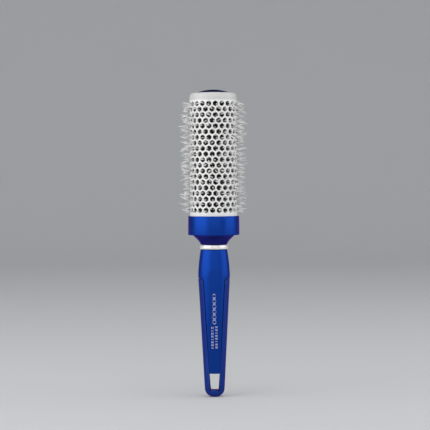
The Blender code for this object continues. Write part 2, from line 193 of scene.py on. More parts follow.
def web_shape(name, gap, depth, with_loop=False):
    """Cutter with the outline of the core between the arms, grown by a gap, as thick as twice depth."""
    arms_top = grip_high.z + groove
    arc_level = arms_top - arm_corner
    rows = []
    if with_loop:
        rows += [(loop_floor_half, loop_floor), (web_bottom, loop_top - gap),
                 (web_bottom + gap, loop_top - gap * 0.99)]
    rows += [(web_bottom + gap, loop_top), (web_top + gap, arc_level)]
    for step in range(1, 10):
        angle = math.pi - math.pi / 2 * step / 9
        rows.append((web_top + arm_corner + (arm_corner - gap) * math.cos(angle),
                     arc_level + (arm_corner - gap) * math.sin(angle)))
    rows.append((wide_radius * 1.2, arms_top - gap + 0.05 * MM))
    rows.append((wide_radius * 1.2, handle_top + 3 * MM))
    half, level = rows[0]
    bpy.ops.object.select_all(action="DESELECT")
    bpy.ops.mesh.primitive_plane_add(size=2 * half, location=(0, depth, level))
    shape = bpy.context.object
    shape.name = name
    bpy.ops.object.transform_apply(location=True)
    bpy.ops.object.mode_set(mode="EDIT")
    bpy.ops.mesh.select_all(action="SELECT")
    bpy.ops.transform.resize(value=(1, 0, 1), center_override=(0, depth, level))
    bpy.ops.mesh.remove_doubles(threshold=0.001 * MM)
    for next_half, next_level in rows[1:]:
        bpy.ops.mesh.extrude_region_move(TRANSFORM_OT_translate={"value": (0, 0, next_level - level)})
        bpy.ops.transform.resize(value=(next_half / half, 1, 1), center_override=(0, depth, next_level))
        half, level = next_half, next_level
    bpy.ops.mesh.select_all(action="SELECT")
    bpy.ops.mesh.extrude_region_move(TRANSFORM_OT_translate={"value": (0, -2 * depth, 0)})
    bpy.ops.mesh.select_all(action="SELECT")
    bpy.ops.mesh.normals_make_consistent(inside=False)
    close_edit()
    return shape


def cut(piece, tool, operation):
    """Cut, join or keep what a piece shares with a tool, and take the tool away."""
    use_modifier(piece, "Cut", "BOOLEAN", operation=operation, solver="EXACT", object=tool)
    bpy.data.objects.remove(tool)


def round_sharp_edges(piece, width, segments=2, angle=38):
    """Round the edges that are sharper than an angle, then shade the piece smooth."""
    use_modifier(piece, "Soft edges", "BEVEL", width=width, segments=segments, limit_method="ANGLE",
                 angle_limit=math.radians(angle), use_clamp_overlap=True, harden_normals=False)
    bpy.ops.object.select_all(action="DESELECT")
    piece.select_set(True)
    bpy.context.view_layer.objects.active = piece
    bpy.ops.object.shade_smooth_by_angle(angle=math.radians(30))


# Grain, marks and edge wear are shared by all the moulded, coated and plated pieces.

def effect_group(name, inputs, output, output_type="NodeSocketFloat"):
    """An empty shader group with named number inputs and one named output."""
    group = bpy.data.node_groups.new(name, "ShaderNodeTree")
    for label, value in inputs:
        socket = group.interface.new_socket(label, in_out="INPUT", socket_type="NodeSocketFloat")
        socket.default_value = value
    group.interface.new_socket(output, in_out="OUTPUT", socket_type=output_type)
    start = group.nodes.new("NodeGroupInput")
    end = group.nodes.new("NodeGroupOutput")
    return group, start, end


def make_moulded_grain():
    """Fine pebbled texture left by the mould, with a faint orange peel under it."""
    group, start, end = effect_group("Moulded grain", [("Grain size", 900.0), ("Peel", 0.4)], "Height")
    place = group.nodes.new("ShaderNodeTexCoord")
    grain = group.nodes.new("ShaderNodeTexNoise")
    grain.inputs["Detail"].default_value = 3.0
    peel = group.nodes.new("ShaderNodeTexNoise")
    peel.inputs["Scale"].default_value = 260.0
    peel.inputs["Detail"].default_value = 1.0
    mix = group.nodes.new("ShaderNodeMix")
    group.links.new(place.outputs["Object"], grain.inputs["Vector"])
    group.links.new(place.outputs["Object"], peel.inputs["Vector"])
    group.links.new(start.outputs["Grain size"], grain.inputs["Scale"])
    group.links.new(start.outputs["Peel"], mix.inputs["Factor"])
    group.links.new(grain.outputs["Fac"], mix.inputs["A"])
    group.links.new(peel.outputs["Fac"], mix.inputs["B"])
    group.links.new(mix.outputs["Result"], end.inputs["Height"])
    return group


def make_handling_marks():
    """Soft smudges crossed by hair-thin scratches, where hands and a drawer have rubbed."""
    inputs = [("Smudge size", 60.0), ("Scratch share", 0.35)]
    group, start, end = effect_group("Handling marks", inputs, "Marks")
    place = group.nodes.new("ShaderNodeTexCoord")
    smudge = group.nodes.new("ShaderNodeTexNoise")
    smudge.inputs["Detail"].default_value = 5.0
    smudge.inputs["Roughness"].default_value = 0.6
    stretch = group.nodes.new("ShaderNodeMapping")
    stretch.inputs["Rotation"].default_value = (0.4, 0.2, 0.5)
    stretch.inputs["Scale"].default_value = (1500.0, 1500.0, 60.0)
    scratch = group.nodes.new("ShaderNodeTexNoise")
    scratch.inputs["Scale"].default_value = 1.0
    thin = group.nodes.new("ShaderNodeMapRange")
    thin.inputs["From Min"].default_value = 0.66
    thin.inputs["From Max"].default_value = 0.72
    mix = group.nodes.new("ShaderNodeMix")
    group.links.new(place.outputs["Object"], smudge.inputs["Vector"])
    group.links.new(start.outputs["Smudge size"], smudge.inputs["Scale"])
    group.links.new(place.outputs["Object"], stretch.inputs["Vector"])
    group.links.new(stretch.outputs["Vector"], scratch.inputs["Vector"])
    group.links.new(scratch.outputs["Fac"], thin.inputs["Value"])
    group.links.new(start.outputs["Scratch share"], mix.inputs["Factor"])
    group.links.new(smudge.outputs["Fac"], mix.inputs["A"])
    group.links.new(thin.outputs["Result"], mix.inputs["B"])
    group.links.new(mix.outputs["Result"], end.inputs["Marks"])
    return group


def make_edge_wear():
    """Mask of the rubbed corners, broken up so that the line is never even."""
    group, start, end = effect_group("Edge wear", [("Reach", 0.53), ("Break-up size", 400.0)], "Worn")
    surface = group.nodes.new("ShaderNodeNewGeometry")
    place = group.nodes.new("ShaderNodeTexCoord")
    patches = group.nodes.new("ShaderNodeTexNoise")
    patches.inputs["Detail"].default_value = 4.0
    corners = group.nodes.new("ShaderNodeMapRange")
    corners.inputs["From Max"].default_value = 0.62
    both = group.nodes.new("ShaderNodeMath")
    both.operation = "MULTIPLY"
    group.links.new(surface.outputs["Pointiness"], corners.inputs["Value"])
    group.links.new(start.outputs["Reach"], corners.inputs["From Min"])
    group.links.new(place.outputs["Object"], patches.inputs["Vector"])
    group.links.new(start.outputs["Break-up size"], patches.inputs["Scale"])
    group.links.new(corners.outputs["Result"], both.inputs[0])
    group.links.new(patches.outputs["Fac"], both.inputs[1])
    group.links.new(both.outputs["Value"], end.inputs["Worn"])
    return group


moulded_grain = make_moulded_grain()
handling_marks = make_handling_marks()
edge_wear = make_edge_wear()


def place_group(tree, group, **values):
    """Put an effect into a material with its own values."""
    node = tree.nodes.new("ShaderNodeGroup")
    node.node_tree = group
    for label, value in values.items():
        node.inputs[label.replace("_", " ")].default_value = value
    return node


def coloured_range(tree, source, low, high):
    """Turn a 0 to 1 value into one that runs from low to high."""
    node = tree.nodes.new("ShaderNodeMapRange")
    node.inputs["To Min"].default_value = low
    node.inputs["To Max"].default_value = high
    tree.links.new(source, node.inputs["Value"])
    return node.outputs["Result"]


def coated_finish(name, colour, rubbed, roughness, bump, metallic=0.0, coat=0.0, grain_size=900.0,
                  clouding=0.08, smudge_size=60.0, edge_tint=(1, 1, 1), sheen=0.0):
    """A coated or moulded surface: clouded colour, rubbed corners, marks in the gloss and a fine grain."""
    material = bpy.data.materials.new(name)
    material.use_nodes = True
    tree = material.node_tree
    shader = tree.nodes["Principled BSDF"]
    shader.inputs["Metallic"].default_value = metallic
    shader.inputs["Specular Tint"].default_value = (*edge_tint, 1)
    shader.inputs["Coat Weight"].default_value = coat
    shader.inputs["Coat Roughness"].default_value = 0.22
    shader.inputs["Sheen Weight"].default_value = sheen
    shader.inputs["Sheen Roughness"].default_value = 0.35
    shader.inputs["Sheen Tint"].default_value = (0.45, 0.22, 0.90, 1)
    marks = place_group(tree, handling_marks, Smudge_size=smudge_size)
    worn = place_group(tree, edge_wear)
    grain = place_group(tree, moulded_grain, Grain_size=grain_size)
    cloud = tree.nodes.new("ShaderNodeMix")
    cloud.data_type = "RGBA"
    cloud.inputs["A"].default_value = (*colour, 1)
    cloud.inputs["B"].default_value = (*[min(1, c * (1 + 4 * clouding)) for c in colour], 1)
    rub = tree.nodes.new("ShaderNodeMix")
    rub.data_type = "RGBA"
    rub.inputs["B"].default_value = (*rubbed, 1)
    relief = tree.nodes.new("ShaderNodeBump")
    relief.inputs["Strength"].default_value = bump
    relief.inputs["Distance"].default_value = 0.05 * MM
    tree.links.new(coloured_range(tree, marks.outputs["Marks"], 0.0, 0.5), cloud.inputs["Factor"])
    tree.links.new(cloud.outputs["Result"], rub.inputs["A"])
    tree.links.new(worn.outputs["Worn"], rub.inputs["Factor"])
    tree.links.new(rub.outputs["Result"], shader.inputs["Base Color"])
    tree.links.new(coloured_range(tree, marks.outputs["Marks"], roughness * 0.85, roughness * 1.2),
                   shader.inputs["Roughness"])
    tree.links.new(grain.outputs["Height"], relief.inputs["Height"])
    tree.links.new(relief.outputs["Normal"], shader.inputs["Normal"])
    return material


def finish_piece(piece, material, slot, *nodes):
    """Give a piece its material and its body, and hide the CAD nodes that it stands for. The slot is not
    used.
    """
    piece.data.materials.clear()
    piece.data.materials.append(material)
    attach(piece, "root")
    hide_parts(*nodes)


# ---------------------------------------------------------------------------
# Handle core
# Shoulder and central web in glossy blue lacquered plastic. A low tongue down both
# edges of the web sits inside the grip, so the parting groove is shallow and dark.
# ---------------------------------------------------------------------------
soft_edge = 0.35 * MM
tongue_reach = 0.5 * MM
tongue_share = (0.93, 0.84, 1)
tongue_bottom = loop_top + 0.4 * MM
tongue_top = handle_top - 2 * MM
handle_core = handle_blank("lacquered_core")
cut(handle_core, web_shape("web_trim", 0.0, cutter_depth), "INTERSECT")
tongue = handle_blank("tongue")
bare_edit(tongue)
bpy.ops.mesh.select_all(action="SELECT")
bpy.ops.transform.resize(value=tongue_share, center_override=(0, 0, 0))
for level, facing in ((tongue_bottom, -1), (tongue_top, 1)):
    bpy.ops.mesh.select_all(action="SELECT")
    bpy.ops.mesh.bisect(plane_co=(0, 0, level), plane_no=(0, 0, facing), use_fill=True, clear_outer=True,
                        threshold=slice_tolerance)
close_edit()
cut(tongue, web_shape("tongue_trim", tongue_reach, cutter_depth), "INTERSECT")
round_sharp_edges(handle_core, soft_edge)
# The rounded corners' faces aren't quite flat, and the join is only steady between flat ones.
use_modifier(handle_core, "Flat faces", "TRIANGULATE")
use_modifier(tongue, "Flat faces", "TRIANGULATE")
cut(handle_core, tongue, "UNION")
bpy.ops.object.shade_smooth_by_angle(angle=math.radians(30))
lacquer_colour = (0.006, 0.045, 0.295)
lacquer_rubbed = (0.02, 0.09, 0.36)
lacquer_edge = (0.40, 0.36, 0.75)
lacquer_sheen = 0.35

# Printed mark on the front of the web: hexagons with dots between them and, below, two
# columns of dashes.
print_stand = 0.03 * MM
hexagon_count = 6
hexagon_start = 69.0 * MM
hexagon_pitch = 4.75 * MM
hexagon_radius = 2.1 * MM
hexagon_line = 0.55 * MM
dot_side = 0.8 * MM
dot_radius = 0.36 * MM
dash_count = 8
dash_start = 45.2
dash_pitch = 2.65
dash_stagger = 0.6
dash_width = 1.9 * MM
dash_corner = 0.35 * MM


def web_front(x, z):
    """Depth of the web's front face at a place on it, just clear of the lacquer."""
    crown = panel_crown * (1 - math.cos(math.asin(x / panel_crown)))
    return -(panel_end_depth + panel_slope * (z - loop_floor) - crown) - print_stand


marks = []


def add_mark(shape, x, z, **sizes):
    """Start one flat printed mark on the web and leave it open in edit mode, selected."""
    bpy.ops.object.select_all(action="DESELECT")
    shape(location=(x, 0, z), rotation=(math.pi / 2, 0, 0), **sizes)
    marks.append(bpy.context.object)
    bpy.ops.object.mode_set(mode="EDIT")
    bpy.ops.mesh.select_all(action="SELECT")


for step in range(hexagon_count):
    hexagon_level = hexagon_start + hexagon_pitch * step
    add_mark(bpy.ops.mesh.primitive_circle_add, 0, hexagon_level, vertices=6, radius=hexagon_radius,
             fill_type="NGON")
    bpy.ops.mesh.inset(thickness=hexagon_line)
    bpy.ops.mesh.delete(type="FACE")
    close_edit()
    if step < hexagon_count - 1:
        for side in (-1, 1):
            add_mark(bpy.ops.mesh.primitive_circle_add, side * dot_side, hexagon_level + hexagon_pitch / 2,
                     vertices=6, radius=dot_radius, fill_type="NGON")
            close_edit()
for column in (-1.75, 1.75):
    for step in range(dash_count):
        dash = 1.8 * MM if (step + (column > 0)) % 3 else 0.9 * MM
        dash_level = (dash_start + dash_pitch * step + dash_stagger * (column > 0)) * MM
        add_mark(bpy.ops.mesh.primitive_plane_add, column * MM, dash_level, size=dash)
        bpy.ops.transform.resize(value=(dash_width / dash, 1, 1), center_override=(column * MM, 0, 0))
        bpy.ops.mesh.bevel(offset=dash_corner, affect="VERTICES", segments=2)
        close_edit()
bpy.ops.object.select_all(action="DESELECT")
for mark in marks:
    mark.select_set(True)
bpy.context.view_layer.objects.active = marks[0]
bpy.ops.object.transform_apply(location=True, rotation=True, scale=True)
bpy.ops.object.join()
print_mark = bpy.context.object
for vert in print_mark.data.vertices:
    vert.co.y = web_front(vert.co.x, vert.co.z)
bare_edit(print_mark)
bpy.ops.mesh.select_all(action="SELECT")
if sum(face.normal.y for face in print_mark.data.polygons) > 0:
    bpy.ops.mesh.flip_normals()
close_edit()
print_ink = coated_finish("Pale print", (0.50, 0.48, 0.62), (0.36, 0.36, 0.50), 0.5, 0.05)
core_blue = coated_finish("Blue lacquer", lacquer_colour, lacquer_rubbed, 0.40, 0.10, metallic=0.92,
                          edge_tint=lacquer_edge, sheen=lacquer_sheen)
handle_core.data.materials.clear()
handle_core.data.materials.append(core_blue)
print_mark.data.materials.append(print_ink)
bpy.ops.object.select_all(action="DESELECT")
print_mark.select_set(True)
handle_core.select_set(True)
bpy.context.view_layer.objects.active = handle_core
bpy.ops.object.join()

# The walls of the loop's opening are darker than the lacquered faces round it: painted shade.
loop_wall_painted_shade = coated_finish("Loop walls in painted shade", (0.005, 0.007, 0.045), (0.01, 0.02, 0.09), 0.5, 0.2,
                             metallic=0.8, edge_tint=(0.2, 0.2, 0.5))
handle_core.data.materials.append(loop_wall_painted_shade)
for face in handle_core.data.polygons:
    if face.center.z < loop_top + 0.6 * MM and face.normal.z < -0.15 and face.material_index == 0:
        face.material_index = 2
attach(handle_core, "root")
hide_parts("handle_core")

# ---------------------------------------------------------------------------
# Grip
# U of softer blue coated plastic round the web, pressed on from the end. Its closed
# end is the hanging loop, with a flat ledge inside.
# ---------------------------------------------------------------------------
loop_rim_round = 0.9 * MM
grip = handle_blank("loop_grip")
cut(grip, web_shape("loop_and_web_trim", groove, cutter_depth, with_loop=True), "DIFFERENCE")
bare_edit(grip)
bpy.ops.mesh.select_mode(type="EDGE")
loop_rim = bmesh.from_edit_mesh(grip.data)
for edge in loop_rim.edges:
    middle = (edge.verts[0].co + edge.verts[1].co) / 2
    inside_loop = abs(middle.x) < 4.75 * MM and loop_floor - 0.1 * MM < middle.z < loop_top - 1.0 * MM
    edge.select_set(inside_loop and abs(middle.y) > 4.5 * MM and edge.calc_face_angle(0.0) > math.radians(50))
bmesh.update_edit_mesh(grip.data)
bpy.ops.mesh.bevel(offset=loop_rim_round, affect="EDGES", segments=4)
close_edit()
round_sharp_edges(grip, soft_edge)
grip_blue = coated_finish("Blue grip coating", (0.010, 0.038, 0.24), (0.03, 0.08, 0.32), 0.48, 0.16,
                          metallic=0.85, edge_tint=(0.50, 0.42, 0.80), sheen=lacquer_sheen)
finish_piece(grip, grip_blue, "blue_grip", "grip_sleeve")
# The loop's side walls in the grip take the same painted shade.
grip.data.materials.append(loop_wall_painted_shade)
for face in grip.data.polygons:
    at_loop = loop_floor - 0.2 * MM < face.center.z < loop_top + 0.1 * MM
    sideways = abs(face.normal.y) < 0.8 and abs(face.normal.x) > 0.15
    if at_loop and sideways and abs(face.center.x) < web_bottom + 0.8 * MM:
        face.material_index = 1

# ---------------------------------------------------------------------------
# Trim ring
# Pressed and plated metal ring with a full round face, trapped between the handle
# and the collar.
# ---------------------------------------------------------------------------
ring_low, ring_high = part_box("trim_ring")
ring_bore = 7.8 * MM
ring_bulge = 0.7 * MM
ring_middle = (ring_low.z + ring_high.z) / 2
ring_half = (ring_high.z - ring_low.z) / 2
ring_profile = [(ring_bore, ring_low.z)]
for step in range(17):
    angle = -math.pi / 2 + math.pi * step / 16
    ring_profile.append((ring_high.x - ring_bulge * (1 - math.cos(angle)),
                         ring_middle + ring_half * math.sin(angle)))
ring_profile += [(ring_bore, ring_high.z), (ring_bore, ring_low.z)]
trim_ring = turned_piece("plated_ring", ring_profile, closed=True)
round_sharp_edges(trim_ring, 0.2 * MM, segments=3)
plating = coated_finish("Bright plating", (0.95, 0.92, 0.89), (0.86, 0.83, 0.80), 0.26, 0.02, metallic=0.45,
                        clouding=0.01, smudge_size=120.0)
finish_piece(trim_ring, plating, "bright_trim", "trim_ring")

# ---------------------------------------------------------------------------
# Collar
# One blue lacquered moulding: cup for the barrel, flared neck and the spigot that goes
# down into the handle.
# ---------------------------------------------------------------------------
collar_low, collar_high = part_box("collar")
cup_height = 17.3 * MM
cup_bottom = collar_high.z - cup_height
cup_radius = collar_high.x
cup_taper = 0.2 * MM
cup_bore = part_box("barrel")[1].x + 0.3 * MM
neck_bottom = ring_high.z + 0.3 * MM
neck_collar_radius = 12.1 * MM
flare_radius = 18.5 * MM
flare_height = 7.7 * MM
cup_floor = cup_bottom + 2.5 * MM
spigot_radius = 7.5 * MM
boss_radius = 6.0 * MM
boss_bore = 3.55 * MM
boss_top = cup_floor + 8.5 * MM
collar_profile = [(boss_bore, collar_low.z), (spigot_radius, collar_low.z), (spigot_radius, neck_bottom)]
for step in range(15):
    share = step / 14
    flare = neck_collar_radius + (flare_radius - neck_collar_radius) * share ** 1.45
    collar_profile.append((flare, neck_bottom + flare_height * share))
collar_profile += [
    (flare_radius, cup_bottom),
    (cup_radius, cup_bottom),
    (cup_radius - cup_taper, collar_high.z),
    (cup_bore, collar_high.z),
    (cup_bore, cup_floor),
    (boss_radius, cup_floor),
    (boss_radius, boss_top),
    (boss_bore, boss_top),
    (boss_bore, collar_low.z),
]
collar = turned_piece("lacquered_collar", collar_profile, around=128, closed=True)
round_sharp_edges(collar, 0.5 * MM, segments=4, angle=50)
collar_blue = coated_finish("Blue collar lacquer", lacquer_colour, lacquer_rubbed, 0.36, 0.08, metallic=0.94,
                            edge_tint=lacquer_edge, sheen=lacquer_sheen)


def tone_by_height(material, start, end, colour, above):
    """Blend a finish into another colour, above the end of a stretch of height or below its start."""
    tree = material.node_tree
    shader = tree.nodes["Principled BSDF"]
    place = tree.nodes.new("ShaderNodeTexCoord")
    axes = tree.nodes.new("ShaderNodeSeparateXYZ")
    rise = tree.nodes.new("ShaderNodeMapRange")
    rise.inputs["From Min"].default_value = start
    rise.inputs["From Max"].default_value = end
    tone = tree.nodes.new("ShaderNodeMix")
    tone.data_type = "RGBA"
    kept_side, new_side = ("A", "B") if above else ("B", "A")
    tone.inputs[new_side].default_value = (*colour, 1)
    tree.links.new(place.outputs["Object"], axes.inputs["Vector"])
    tree.links.new(axes.outputs["Z"], rise.inputs["Value"])
    tree.links.new(rise.outputs["Result"], tone.inputs["Factor"])
    tree.links.new(shader.inputs["Base Color"].links[0].from_socket, tone.inputs[kept_side])
    tree.links.new(tone.outputs["Result"], shader.inputs["Base Color"])


# The flare under the cup is a deeper blue than the cup: painted shade under the cup.
flare_painted_shade = (0.012, 0.018, 0.165)
tone_by_height(collar_blue, cup_bottom - 0.2 * MM, cup_bottom + 0.6 * MM, flare_painted_shade, above=False)
finish_piece(collar, collar_blue, "blue_lacquer", "collar")

# ---------------------------------------------------------------------------
# Barrel
# Thin aluminium tube, punched all over with six-sided vents, rolled in at the top and
# coated white outside. The inside is near black: painted shade for the dark in the tube.
# ---------------------------------------------------------------------------
barrel_low, barrel_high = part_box("barrel")
barrel_radius = 21.5 * MM
barrel_wall = 1.0 * MM
corner_width = 2.9 * MM
corner_height = 4.2 * MM
lip_radius = barrel_radius - 4.5 * MM
vents_around = 22
vent_rows = 20
strut = 1.55 * MM
vent_corner = 0.45 * MM
vent_edge = 0.14 * MM
band_start = 0.5 * MM
sheet_weld = 0.01 * MM
lowest_vents = collar_high.z + 5.5 * MM
highest_vents = barrel_high.z - 10.2 * MM
column_pitch = 2 * math.pi * barrel_radius / vents_around
row_pitch = (highest_vents - lowest_vents) / (vent_rows - 1)
pattern_turn = math.radians(-2.45)
cell_tip = ((column_pitch / 2) ** 2 + row_pitch ** 2) / (2 * row_pitch)
cell_side = row_pitch - cell_tip

# One cell of the sheet: a hexagon with a round-cornered hexagonal vent in its middle.
bpy.ops.object.select_all(action="DESELECT")
bpy.ops.mesh.primitive_circle_add(vertices=6, radius=MM, fill_type="NGON", rotation=(math.pi / 2, 0, 0))
barrel = bpy.context.object
barrel.name = "vented_barrel"
bpy.ops.object.transform_apply(location=True, rotation=True, scale=True)
bare_edit(barrel)
cell = bmesh.from_edit_mesh(barrel.data)
for vert in cell.verts:
    vert.co.x *= column_pitch / 2 / (math.sin(math.pi / 3) * MM)
    vert.co.z = math.copysign(cell_tip if abs(vert.co.x) < 0.1 * MM else cell_side, vert.co.z)
bmesh.update_edit_mesh(barrel.data)
bpy.ops.mesh.select_all(action="SELECT")
bpy.ops.mesh.inset(thickness=strut / 2)
bpy.ops.mesh.bevel(offset=vent_corner, affect="VERTICES", segments=2)
cell = bmesh.from_edit_mesh(barrel.data)
for face in cell.faces:
    face.select_set(face.calc_center_median().length < 0.05 * MM and len(face.verts) > 6)
bmesh.update_edit_mesh(barrel.data)
bpy.ops.mesh.delete(type="FACE")
bpy.ops.mesh.select_all(action="SELECT")
bpy.ops.mesh.duplicate_move(TRANSFORM_OT_translate={"value": (column_pitch / 2, 0, row_pitch)})
bpy.ops.mesh.select_all(action="SELECT")
first_column = pattern_turn * barrel_radius - column_pitch * vents_around / 2
bpy.ops.transform.translate(value=(first_column, 0, lowest_vents))
close_edit()
use_modifier(barrel, "Across", "ARRAY", count=vents_around, use_relative_offset=False,
             use_constant_offset=True, constant_offset_displace=(column_pitch, 0, 0))
use_modifier(barrel, "Up", "ARRAY", count=vent_rows // 2, use_relative_offset=False,
             use_constant_offset=True, constant_offset_displace=(0, 0, 2 * row_pitch))


def select_sheet_edge(row_level, toward):
    """Select the zigzag edge of the punched sheet, above (1) or below (-1) its last row."""
    sheet = bmesh.from_edit_mesh(barrel.data)
    heights = (row_level + toward * cell_side, row_level + toward * cell_tip)
    on_edge = {v for v in sheet.verts if min(abs(v.co.z - h) for h in heights) < 0.01 * MM}
    for edge in sheet.edges:
        if edge.is_boundary and edge.verts[0] in on_edge and edge.verts[1] in on_edge:
            edge.select_set(True)
    bmesh.update_edit_mesh(barrel.data)


def draw_band(level):
    """Extend the selected edge to an even height."""
    bpy.ops.mesh.extrude_region_move()
    bpy.ops.transform.resize(value=(1, 1, 0), center_override=(0, 0, level))


bare_edit(barrel)
bpy.ops.mesh.select_all(action="SELECT")
bpy.ops.mesh.remove_doubles(threshold=sheet_weld)
bpy.ops.mesh.select_mode(type="EDGE")
bpy.ops.mesh.select_all(action="DESELECT")
select_sheet_edge(highest_vents, 1)
draw_band(highest_vents + cell_tip + band_start)
bpy.ops.mesh.subdivide(number_cuts=1)
draw_band(barrel_high.z - corner_height)
bpy.ops.mesh.select_all(action="DESELECT")
select_sheet_edge(lowest_vents, -1)
draw_band(lowest_vents - cell_tip - band_start)
bpy.ops.mesh.subdivide(number_cuts=1)
draw_band(barrel_low.z)
close_edit()
sheet_width = max(v.co.x for v in barrel.data.vertices) - min(v.co.x for v in barrel.data.vertices)
use_modifier(barrel, "Roll", "SIMPLE_DEFORM", deform_method="BEND", deform_axis="Z",
             angle=sheet_width / barrel_radius)
bare_edit(barrel)
bpy.ops.mesh.select_all(action="SELECT")
bpy.ops.transform.translate(value=(0, -barrel_radius, 0))
bpy.ops.mesh.remove_doubles(threshold=sheet_weld)
bpy.ops.mesh.select_all(action="DESELECT")
rolled = bmesh.from_edit_mesh(barrel.data)
for edge in rolled.edges:
    edge.select_set(all(v.co.z > barrel_high.z - corner_height - 0.01 * MM for v in edge.verts))
bmesh.update_edit_mesh(barrel.data)
lip_steps = [(math.cos(math.pi / 2 * step / 7), math.sin(math.pi / 2 * step / 7)) for step in range(1, 8)]
lip_profile = [(barrel_radius - corner_width * (1 - out), barrel_high.z - corner_height * (1 - up))
               for out, up in lip_steps]
lip_profile.append((lip_radius, barrel_high.z))
at_radius, at_level = barrel_radius, barrel_high.z - corner_height
for next_radius, next_level in lip_profile:
    bpy.ops.mesh.extrude_region_move(TRANSFORM_OT_translate={"value": (0, 0, next_level - at_level)})
    share = next_radius / at_radius
    bpy.ops.transform.resize(value=(share, share, 1), center_override=(0, 0, next_level))
    at_radius, at_level = next_radius, next_level
bpy.ops.mesh.select_all(action="SELECT")
bpy.ops.mesh.normals_make_consistent(inside=False)
close_edit()

bare_edit(barrel)
bpy.ops.mesh.select_all(action="SELECT")
if sum(face.normal.x * face.center.x + face.normal.y * face.center.y for face in barrel.data.polygons) < 0:
    bpy.ops.mesh.flip_normals()
close_edit()

barrel_white = coated_finish("White barrel coating", (0.86, 0.855, 0.84), (0.97, 0.97, 0.96), 0.36, 0.05,
                             coat=0.2, clouding=0.02, smudge_size=90.0)
# The plain band under the lip is greyer than the punched sheet.
band_grey = (0.60, 0.595, 0.59)
tone_by_height(barrel_white, highest_vents + 2.6 * MM, highest_vents + 4.2 * MM, band_grey, above=True)
# The near-black inside of the tube is painted shade for the dark in the tube.
barrel_inside_painted_shade = coated_finish("Tube inside in painted shade", (0.012, 0.011, 0.011), (0.03, 0.03, 0.03), 0.7,
                              0.2, clouding=0.3)
barrel.data.materials.append(barrel_white)
barrel.data.materials.append(barrel_inside_painted_shade)
use_modifier(barrel, "Wall", "SOLIDIFY", thickness=barrel_wall, offset=-1.0, use_even_offset=True,
             material_offset=1, material_offset_rim=0)
bare_edit(barrel)
bpy.ops.mesh.select_mode(type="EDGE")
wall = bmesh.from_edit_mesh(barrel.data)
for edge in wall.edges:
    corner = edge.calc_face_angle(0.0) > math.radians(60)
    outside = all(math.hypot(v.co.x, v.co.y) > barrel_radius - 0.1 * MM for v in edge.verts)
    lip = all(v.co.z > barrel_high.z - 0.1 * MM for v in edge.verts)
    edge.select_set(corner and (outside or lip))
bmesh.update_edit_mesh(barrel.data)
bpy.ops.mesh.bevel(offset=vent_edge, affect="EDGES", segments=1, clamp_overlap=True)
close_edit()
bpy.ops.object.shade_smooth_by_angle(angle=math.radians(35))
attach(barrel, "root")
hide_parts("barrel")

# ---------------------------------------------------------------------------
# End plug
# Dark blue lacquered plastic dome, pressed into the barrel's rolled top. A flange under
# the lip keeps it in, and its boss holds the top of the wire core.
# ---------------------------------------------------------------------------
plug_low, plug_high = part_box("end_plug")
dome_edge = lip_radius - 0.3 * MM
dome_level = barrel_high.z - 0.4 * MM
dome_rise = plug_high.z - dome_level
dome_radius = (dome_edge ** 2 + dome_rise ** 2) / (2 * dome_rise)
dome_angle = math.asin(dome_edge / dome_radius)
plug_flange = plug_high.z - 6.0 * MM
flange_height = 1.5 * MM
boss_outside = 4.5 * MM
socket_bore = 1.8 * MM
socket_depth = 3.6 * MM
plug_profile = []
for step in range(1, 17):
    angle = dome_angle * step / 16
    plug_profile.append((dome_radius * math.sin(angle), plug_high.z - dome_radius * (1 - math.cos(angle))))
plug_profile += [
    (dome_edge, plug_flange),
    (plug_high.x, plug_flange),
    (plug_high.x, plug_flange - flange_height),
    (boss_outside, plug_flange - flange_height),
    (boss_outside, plug_low.z),
    (socket_bore, plug_low.z),
    (socket_bore, plug_low.z + socket_depth),
]
end_plug = turned_piece("domed_plug", plug_profile, around=96, start_pole=True, end_pole=True)
round_sharp_edges(end_plug, 0.3 * MM, segments=3, angle=50)
plug_blue = coated_finish("Dark blue plug lacquer", (0.004, 0.002, 0.12), (0.02, 0.02, 0.16), 0.36, 0.06,
                          metallic=1.0, edge_tint=(0.03, 0.01, 0.35))
finish_piece(end_plug, plug_blue, "dark_plug", "end_plug")

# ---------------------------------------------------------------------------
# Bristle rows
# Clear crimped nylon filament, one tuft through every vent. Each row is clamped in its
# own ring round the wire core, so the ends are free and the vents stay open. The rings
# are black as painted shade for the dark inside the barrel.
# ---------------------------------------------------------------------------
carrier_radius = 10.0 * MM
carrier_height = row_pitch - 1.9 * MM
carrier_bore = 2.3 * MM
filament_radius = 0.21 * MM
filament_start = 9.4 * MM
filament_end = barrel_radius + 10.3 * MM
clumps_in_tuft = 2
strands_in_clump = 4
long_clump_chance = 0.7
# Painted shade on the filament: full inside the first radius, gone past the second.
painted_root_shade_end = 19.0 * MM
painted_root_shade_fade = 26.0 * MM

# One filament lies along +X. It is straight inside the barrel and crimped outside it.
crimps = [(9.4, 0.0), (13.5, 0.0), (17.5, 0.05), (20.5, -0.05), (22.2, 0.16), (23.7, -0.16), (25.2, 0.2),
          (26.7, -0.2), (28.1, 0.2), (29.4, -0.16), (30.7, 0.12), (31.8, 0.0)]
bpy.ops.object.select_all(action="DESELECT")
bpy.ops.mesh.primitive_circle_add(vertices=3, radius=filament_radius, location=(crimps[0][0] * MM, 0, 0),
                                  rotation=(0, math.pi / 2, 0))
filament = bpy.context.object
filament.name = "filament"
bpy.ops.object.transform_apply(location=True, rotation=True, scale=True)
bpy.ops.object.mode_set(mode="EDIT")
bpy.ops.mesh.select_all(action="SELECT")
for (last_x, last_z), (next_x, next_z) in zip(crimps, crimps[1:]):
    bpy.ops.mesh.extrude_region_move(
        TRANSFORM_OT_translate={"value": ((next_x - last_x) * MM, 0, (next_z - last_z) * MM)})
bpy.ops.transform.resize(value=(1, 0.5, 0.5), center_override=(filament_end, 0, 0))
bpy.ops.mesh.edge_face_add()
bpy.ops.mesh.select_all(action="SELECT")
bpy.ops.mesh.normals_make_consistent(inside=False)
close_edit()
filament_places = [vert.co.copy() for vert in filament.data.vertices]
lay = random.Random(26)


